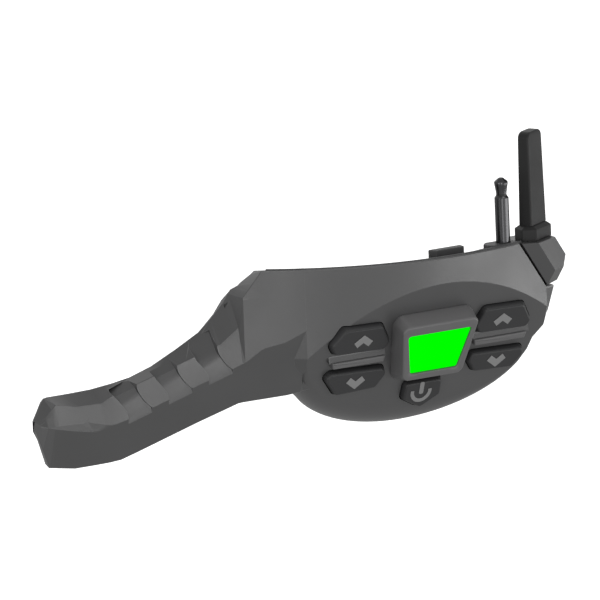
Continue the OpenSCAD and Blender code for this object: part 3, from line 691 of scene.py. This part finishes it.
def boom_shell():
    """The boom's outer half, with softened long edges."""
    rings = [wall_ring(x, boom_chain(x), near_tip(x, TIP_WALL, BOOM_WALL), BOOM_SOFT) for x in BOOM_STATIONS]
    return strip_loft(rings)


SCREW_HOLE_R, SCREW_DEPTH, POST_BASE = 0.8, 6, 0.6   # POST_BASE is also the gap to the housing's wall
HOUSING_POST_R, HOUSING_POST_END = 1.9, 17.4
BOOM_POST_R, BOOM_POST_START, BOOM_POST_LENGTH = 2.0, 3.0, 3.6


def screw_post(x, z, start, length, radius):
    """A post with a blind hole for its screw, along Y."""
    floor = length - min(SCREW_DEPTH, length - POST_BASE)
    profile = [(0, 0), (radius, 0), (radius, length), (SCREW_HOLE_R, length), (SCREW_HOLE_R, floor),
               (0, floor)]
    return moved(lathe(profile, sides=32), Matrix.Translation((x, start, z)) @ ALONG_Y)


def make_posts():
    """The posts behind the outer shell that take its screws."""
    posts = []
    for x, z in HOUSING_SCREWS:
        start = WALL + POST_BASE + max(band_y(x), FRONT_Y - (z - CREASE_Z) * tan(TILT))
        posts.append(screw_post(x, z, start, HOUSING_POST_END - start, HOUSING_POST_R))
    for x, z in BOOM_SCREWS:
        posts.append(screw_post(x, z, band_y(x) + BOOM_POST_START, BOOM_POST_LENGTH, BOOM_POST_R))
    make_piece("screw_posts", "housing_grey", *join(posts))


def make_housing():
    """The outer shell: housing and boom in one, with its openings, grooves and cuts."""
    housing = make_piece("housing_shell", None, *body_shell())
    combine(housing, make_piece("boom_solid", None, *boom_shell()), "UNION")
    holes = [inset(rounded(outline, KEY_CORNER), -KEY_GAP) for outline in KEYS.values()]
    openings = [stack([(hole, z) for z in (-4, 4)]) for hole in holes]
    openings.append(stack([(rounded(SCREEN, 0.6), z) for z in (-4, 4)]))
    combine(housing, make_piece("openings", None, *join(openings), place=PANEL), "DIFFERENCE")
    cuts = [plate_groove(i) for i in range(3)]
    cuts.append(slanted_cut(*TIP_CUT, TIP_CUT_DEPTH))
    for cut in cuts:
        combine(housing, make_piece("cut", None, *cut), "DIFFERENCE")
    pod = stack([(POD_CUT, -POD_BACK_Y), (POD_CUT, 30)])
    pod = [(x, -z, y) for x, y, z in pod[0]], pod[1]
    combine(housing, make_piece("pod_cut", None, *pod), "DIFFERENCE")
    combine(housing, make_piece("boss_cut", None, *stack([(BOSS_CUT, -4), (BOSS_CUT, 2)])), "DIFFERENCE")
    finish_housing(housing)


WELD_DISTANCE = 2e-6           # in m


def finish_housing(housing):
    """Cleans the mesh after the Booleans, gives it its finish and body, and hides the CAD node that it
    replaces.
    """
    bm = bmesh.new()
    bm.from_mesh(housing.data)
    bmesh.ops.remove_doubles(bm, verts=bm.verts, dist=WELD_DISTANCE)
    bmesh.ops.dissolve_degenerate(bm, edges=bm.edges, dist=WELD_DISTANCE)
    bmesh.ops.recalc_face_normals(bm, faces=bm.faces)
    bm.to_mesh(housing.data)
    bm.free()
    housing.data.materials.clear()
    housing.data.materials.append(SURFACES["housing_grey"])
    shade(housing, 14.0)
    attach(housing, HOUSING)
    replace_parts(housing, "outer_shell")


# ---------------------------------------------------------------- controls

KEY_TOP = 1.6
KEY_DETAILS = {                # centre of the foot, and how far the flange is moved up the panel
    "key_left_up": ((-20.4, -11.9), -0.8), "key_right_up": ((20.4, -11.9), -0.8),
    "key_left_down": ((-20.4, -23.6), 0.0), "key_right_down": ((20.4, -23.6), 0.0),
    "power_key": ((0, -29.6), 0.6),
}
FLANGE_TOP, FLANGE_LOW, FOOT_LOW = -1.55, -2.05, -3.0
CHEVRONS = {
    "key_left_up": [(-22.1, -12.8), (-20.0, -11.2), (-17.9, -12.8)],
    "key_left_down": [(-22.4, -22.7), (-20.3, -24.4), (-18.2, -22.7)],
    "key_right_up": [(21.7, -13.2), (19.6, -11.6), (17.5, -13.2)],
    "key_right_down": [(21.9, -23.2), (19.8, -24.9), (17.7, -23.2)],
}
ICON_HEIGHT, ICON_SINK = 0.12, 0.1


def stroke(points, width):
    """The outline of a broad line along points, with square ends."""
    left, right = [], []
    for i, p in enumerate(points):
        p = Vector(p)
        u = (p - Vector(points[i - 1])).normalized() if i else None
        v = (Vector(points[i + 1]) - p).normalized() if i < len(points) - 1 else None
        u, v = u or v, v or u
        side = (Vector((-u.y, u.x)) + Vector((-v.y, v.x))) / (1 + u.dot(v)) * width / 2
        left.append(tuple(p + side))
        right.append(tuple(p - side))
    return left + right[::-1]


def make_keys():
    """Each key: a cap with a rolled edge, a flange that keeps it in, and a foot over its switch."""
    for name, outline in KEYS.items():
        (foot_x, foot_y), shift = KEY_DETAILS[name]
        soft = rounded(outline, KEY_CORNER)
        levels = [(0.3, 1.15), (0.37, 1.32), (0.5, 1.47), (0.66, 1.56), (0.82, KEY_TOP)]
        cap = [(soft, FLANGE_TOP - 0.05), (soft, 0.5)] + [(inset(soft, d), z) for d, z in levels]
        flange_outline = [(x, y + shift) for x, y in inset(soft, -0.5)]
        flange = stack([(flange_outline, FLANGE_LOW), (flange_outline, FLANGE_TOP)])
        foot = lathe([(0, FOOT_LOW), (1.3, FOOT_LOW), (1.5, FOOT_LOW + 0.2), (1.5, FLANGE_LOW + 0.1),
                      (0, FLANGE_LOW + 0.1)], sides=32)
        key = make_piece(name + "_cap", None, *stack(cap), place=PANEL)
        combine(key, make_piece("flange", None, *flange, place=PANEL), "UNION")
        foot = moved(foot, Matrix.Translation((foot_x, foot_y, 0)))
        combine(key, make_piece("foot", None, *foot, place=PANEL), "UNION")
        key.data.materials.append(SURFACES["key_rubber"])
        shade(key, 35.0)
        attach(key, name)
        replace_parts(key, name)


def make_icon(name, key, outline):
    """A low raised mark on top of a key."""
    low, high = KEY_TOP - ICON_SINK, KEY_TOP + ICON_HEIGHT
    shape = stack([(outline, low), (outline, high - 0.04), (inset(outline, 0.05), high)])
    make_piece(name, "key_rubber", *shape, body=key, place=PANEL, material=ICON_GREY)


POWER_MARK, POWER_MARK_R = Vector((-0.6, -29.6)), 2.5
POWER_BAR = [(-0.55, -30.3), (-0.6, -26.9)]


def make_icons():
    """The arrows on the keys, and the power key's open ring with its bar."""
    for key, points in CHEVRONS.items():
        make_icon("icon_" + key, key, stroke(points, 1.7))
    turns = [radians(a) for a in range(170, 371, 10)]
    arc = [POWER_MARK + POWER_MARK_R * Vector((cos(a), sin(a))) for a in turns]
    make_icon("icon_power_arc", "power_key", stroke([tuple(p) for p in arc], 0.95))
    make_icon("icon_power_bar", "power_key", rounded(stroke(POWER_BAR, 1.2), 0.5))


def at_angles(outline, middle, angles):
    """Points of the outline straight out from middle at the given angles."""
    out = []
    for a in angles:
        ray = Vector((cos(a), sin(a)))
        for p, q in zip(outline, outline[1:] + outline[:1]):
            p, q = Vector(p) - middle, Vector(q) - middle
            edge = q - p
            cross = ray.x * edge.y - ray.y * edge.x
            if abs(cross) < 1e-12:
                continue
            t = (p.x * edge.y - p.y * edge.x) / cross
            s = (p.x * ray.y - p.y * ray.x) / cross
            if t > 0 and -1e-9 <= s <= 1 + 1e-9:
                out.append(tuple(middle + ray * t))
                break
    return out


BEZEL_BASE = [(-11.4, -9.6), (-10, -7.2), (10, -7.2), (11.4, -9.6),
              (9.4, -24.2), (8, -25.6), (-8, -25.6), (-9.4, -24.2)]
BEZEL_FRONT = [(-10.7, -9.4), (-9.6, -8.3), (9.6, -8.3), (10.7, -9.4),
               (8.5, -22.8), (7.4, -23.9), (-7.4, -23.9), (-8.5, -22.8)]
BEZEL_HEIGHT = 4.5


def make_display():
    """The bezel, a ring from its broad foot up to the edge of the screen, and the window in it."""
    middle = Vector((0, SCREEN_Y))
    base, front = rounded(BEZEL_BASE, 3.2, 6), rounded(BEZEL_FRONT, 1.6, 6)
    screen = rounded(SCREEN, 0.8, 6)
    angles = sorted({round(atan2(y - SCREEN_Y, x), 4) for x, y in base + front + screen})

    def ring(outline, amount, z):
        return [(x, y, z) for x, y in at_angles(inset(outline, amount), middle, angles)]

    rings = [ring(base, 0, 0.05), ring(base, 0, 0.5)]
    rings += [ring(front, -0.05, 4.0), ring(front, 0.02, 4.2), ring(front, 0.12, 4.36),
              ring(front, 0.28, 4.46), ring(front, 0.5, BEZEL_HEIGHT)]
    rings += [ring(screen, -0.22, BEZEL_HEIGHT), ring(screen, -0.08, 4.42), ring(screen, 0.0, 4.25),
              ring(screen, 0.0, 0.05)]
    verts, faces = loft(rings, ends=False)
    n = len(angles)
    last = (len(rings) - 1) * n
    faces += [(last + i, last + (i + 1) % n, (i + 1) % n, i) for i in range(n)]
    bezel = make_piece("display_frame", "bezel_grey", verts, faces, place=PANEL, smooth=40.0)
    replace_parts(bezel, "display_bezel")
    window = inset(screen, 0.1)
    lens = stack([(window, 3.1), (window, 4.0), (inset(window, 0.08), 4.1)])
    lens = make_piece("display_window", "screen_green", *lens, place=PANEL, smooth=50.0)
    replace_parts(lens, "display_lens")


RIB = [(-27.6, -17.3), (-27.2, -19.1), (-12.9, -19.1), (-12.5, -17.3)]
LEDGE_SECTION = [(-16.0, 0.02), (-16.2, 0.1), (-17.3, 0.75), (-17.6, 0.75), (-17.6, 0.02)]
LEDGE_ENDS = [(-28.3, 1.2), (-27.9, 1.0), (-12.9, 1.0), (-12.5, 1.1)]   # x, and the section's scale in height


def make_ribs():
    """The rib between the keys of each pair, and the sloping ledge above it."""
    for side, outline, flip in (("left", RIB, 1), ("right", mirrored(RIB), -1)):
        soft = rounded(outline, 0.4)
        shape = stack([(soft, 0.02), (soft, 0.9), (inset(soft, 0.05), 1.15), (inset(soft, 0.14), 1.3),
                       (inset(soft, 0.28), 1.38), (inset(soft, 0.38), 1.4)])
        rib = make_piece("rib_" + side, "bezel_grey", *shape, place=PANEL, smooth=40.0)
        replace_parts(rib, "panel_rib_" + side)
        ledge = loft([[(x * flip, y, z * tall) for y, z in LEDGE_SECTION] for x, tall in LEDGE_ENDS])
        make_piece("ledge_" + side, "housing_grey", *ledge, place=PANEL)


# ---------------------------------------------------------------- plug and antenna

def make_plug():
    """The jack plug: its shouldered shaft, the insulating ring and the pear-shaped tip."""
    stem_r = 1.5
    sleeve_box, ring_box, tip_box = (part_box("plug_" + part) for part in ("sleeve", "insulator", "tip"))
    low, r = sleeve_box[0].z / MM, sleeve_box[1].x / MM
    neck, tip_low = ring_box[0].z / MM, ring_box[1].z / MM
    tip_r, top = tip_box[1].x / MM, tip_box[1].z / MM
    sleeve = lathe([(0, low), (stem_r - 0.2, low), (stem_r, low + 0.2), (stem_r, 0), (r, 0), (r, 11.0),
                    (r - 0.05, 11.15), (r - 0.15, 11.25), (1.4, neck - 0.05), (1.33, neck), (0, neck)])
    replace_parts(make_piece("plug_shaft", "dark_chrome", *sleeve), "plug_sleeve")
    ring = lathe([(0, neck), (1.25, neck), (1.3, neck + 0.06), (1.3, tip_low - 0.06), (1.25, tip_low),
                  (0, tip_low)])
    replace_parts(make_piece("plug_ring", "insulator_black", *ring), "plug_insulator")
    tip = lathe([(0, tip_low), (1.22, tip_low), (1.28, tip_low + 0.08), (1.36, tip_low + 0.8),
                 (1.5, tip_low + 1.7), (1.62, tip_low + 2.3), (tip_r, tip_low + 2.7), (tip_r, tip_low + 3.0),
                 (1.58, tip_low + 3.25), (0.85, top - 0.25), (0.68, top - 0.1), (0.5, top), (0, top)])
    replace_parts(make_piece("plug_point", "dark_chrome", *tip, smooth=25.0), "plug_tip")


ANTENNA_AT, ANTENNA_HEADING = (9.6, 1.7), 30.0
ANTENNA = Matrix.Translation((*ANTENNA_AT, 0)) @ Matrix.Rotation(radians(ANTENNA_HEADING), 4, "Z")


def blade(half_w, half_t):
    """A section of the antenna's sheath: a rectangle with rounded corners."""
    return rounded([(-half_w, -half_t), (half_w, -half_t), (half_w, half_t), (-half_w, half_t)], 0.5, 5)


def long_hexagon(length, width, point):
    """A six-sided outline along X. point is how far each end tapers."""
    corners = [(-length / 2, 0), (-length / 2 + point, -width / 2), (length / 2 - point, -width / 2),
               (length / 2, 0), (length / 2 - point, width / 2), (-length / 2 + point, width / 2)]
    return rounded(corners, 0.35, 4)


def make_antenna():
    """The blade-shaped sheath with its round top, and the six-sided collar at its foot."""
    low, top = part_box("antenna_sheath")[0].z / MM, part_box("antenna_sheath")[1].z / MM
    end_r = 1.7
    levels = [(blade(3.75, 1.72), low), (blade(3.8, 1.8), low + 0.15), (blade(3.65, 1.66), low + 10),
              (blade(3.5, 1.5), top - end_r)]
    for a in (15, 30, 45, 60, 72, 82):
        half = 1.8 + end_r * cos(radians(a))
        levels.append((blade(half, 1.5 - 0.25 * (a / 82) ** 3), top - end_r + end_r * sin(radians(a))))
    levels.append((blade(1.75, 1.05), top))
    sheath = make_piece("antenna_blade", "antenna_rubber", *stack(levels), place=ANTENNA, smooth=40.0)
    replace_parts(sheath, "antenna_sheath")
    wide, narrow = long_hexagon(11, 6.2, 1.8), long_hexagon(8.4, 4.2, 0.9)
    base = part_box("antenna_collar")[0].z / MM
    levels = [(wide, base), (wide, 2.2), (inset(wide, 0.08), 2.32), (inset(narrow, -0.06), 2.95),
              (narrow, low)]
    collar = make_piece("antenna_foot", "antenna_rubber", *stack(levels), place=ANTENNA, smooth=28.0)
    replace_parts(collar, "antenna_collar")


# ---------------------------------------------------------------- seam and carried-over nodes

RIM_LEFT, RIM_STEP, RIM_COUNT = -64.0, 2.0, 35


def make_rim_seal():
    """The dark seal in the seam between the two shells, which shows as a line along the top rim."""
    rings = []
    for i in range(RIM_COUNT):
        x = RIM_LEFT + i * RIM_STEP
        y, z = band_y(x) + 0.5, rim_z(x)
        section = [(y, z - 0.4), (y, z + 0.1), (y + 0.15, z + 0.22), (y + 1.0, z + 0.1), (y + 1.2, z - 0.4)]
        rings.append([(x, *p) for p in section])
    make_piece("rim_seal", "shell_black", *loft(rings), smooth=40.0)


SOFT_EDGES = {                 # CAD nodes whose edges are rounded by this much, in mm
    "antenna_pod": 0.15, "plug_boss": 0.2, "latch_tab": 0.25, "battery_door": 0.2,
}


def dress_nodes():
    """Gives each CAD node that still shows its finish and, where it is seen, soft edges."""
    slots = {part["node"]: part["material_slot"] for part in frame["record"]["subparts"]}
    for name, node in NODES.items():
        if node.hide_render:
            continue
        node.data.materials.clear()
        node.data.materials.append(SURFACES[slots[name]])
        node.data.shade_smooth()
        weld = node.modifiers.new("weld", "WELD")
        weld.merge_threshold = WELD_DISTANCE
        if name in SOFT_EDGES:
            soften(node, SOFT_EDGES[name])
        weigh(node)


make_camera()
make_light()
make_floor()
make_housing()
make_posts()
make_keys()
make_icons()
make_display()
make_ribs()
make_plug()
make_antenna()
make_rim_seal()
dress_nodes()
